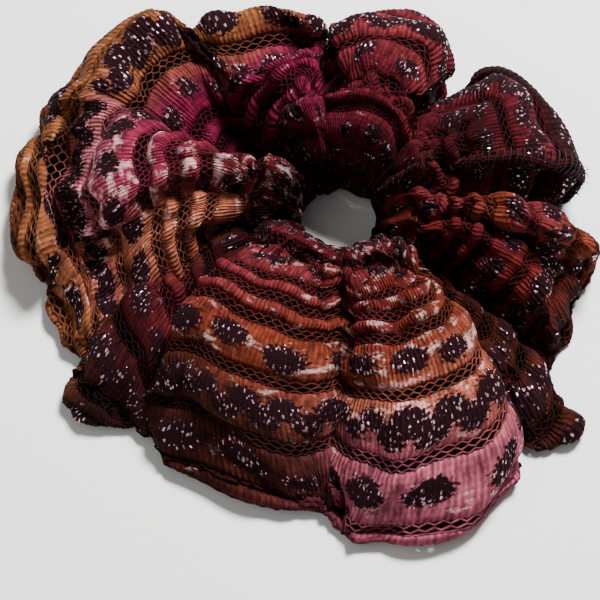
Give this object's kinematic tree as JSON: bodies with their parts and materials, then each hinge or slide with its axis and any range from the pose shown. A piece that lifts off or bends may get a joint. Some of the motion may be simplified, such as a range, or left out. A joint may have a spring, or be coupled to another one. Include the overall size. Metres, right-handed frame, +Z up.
{
  "type": "scrunchie",
  "caption": "Gathered knit fabric hair scrunchie lying flat: a ring of soft puffed gathers round a small central opening, over a stretchy elastic loop.",
  "frame": {"origin": "centre of the bounding box in X and Y, on the surface the relaxed scrunchie lies on", "axes": "+Z up out of that surface, along the loop's axis; +X along the direction in which the loop is pulled open; +Y towards the shorter, upright gathers"},
  "size_m": [0.1258, 0.1218, 0.0419],
  "materials": {
    "knit_rust": "space-dyed warp-knit lace with metallic thread",
    "knit_brown": "space-dyed warp-knit lace with metallic thread",
    "knit_red": "space-dyed warp-knit lace with metallic thread",
    "knit_burgundy": "space-dyed warp-knit lace with metallic thread",
    "knit_magenta": "space-dyed warp-knit lace with metallic thread",
    "knit_pink": "space-dyed warp-knit lace with metallic thread",
    "elastic": "flat braided elastic",
    "thread": "spun polyester sewing thread"
  },
  "bodies": {
    "left_half": {"sleeve_gather_06": "knit_magenta", "sleeve_gather_07": "knit_rust", "sleeve_gather_08": "knit_pink", "sleeve_gather_09": "knit_rust", "sleeve_gather_10": "knit_burgundy", "sleeve_gather_11": "knit_rust", "elastic_left_half": "elastic", "elastic_join_stitches": "thread", "long_seam_thread_left": "thread"},
    "right_half": {"sleeve_gather_01": "knit_rust", "sleeve_gather_02": "knit_brown", "sleeve_gather_03": "knit_red", "sleeve_gather_04": "knit_burgundy", "sleeve_gather_05": "knit_burgundy", "elastic_right_half": "elastic", "long_seam_thread_right": "thread", "closing_seam_thread": "thread"}
  },
  "joints": [
    {"name": "stretch", "type": "slide", "parent": "left_half", "child": "right_half", "axis": [1, 0, 0], "range_m": [0, 0.06], "stiffness_N_per_m": 160}
  ]
}
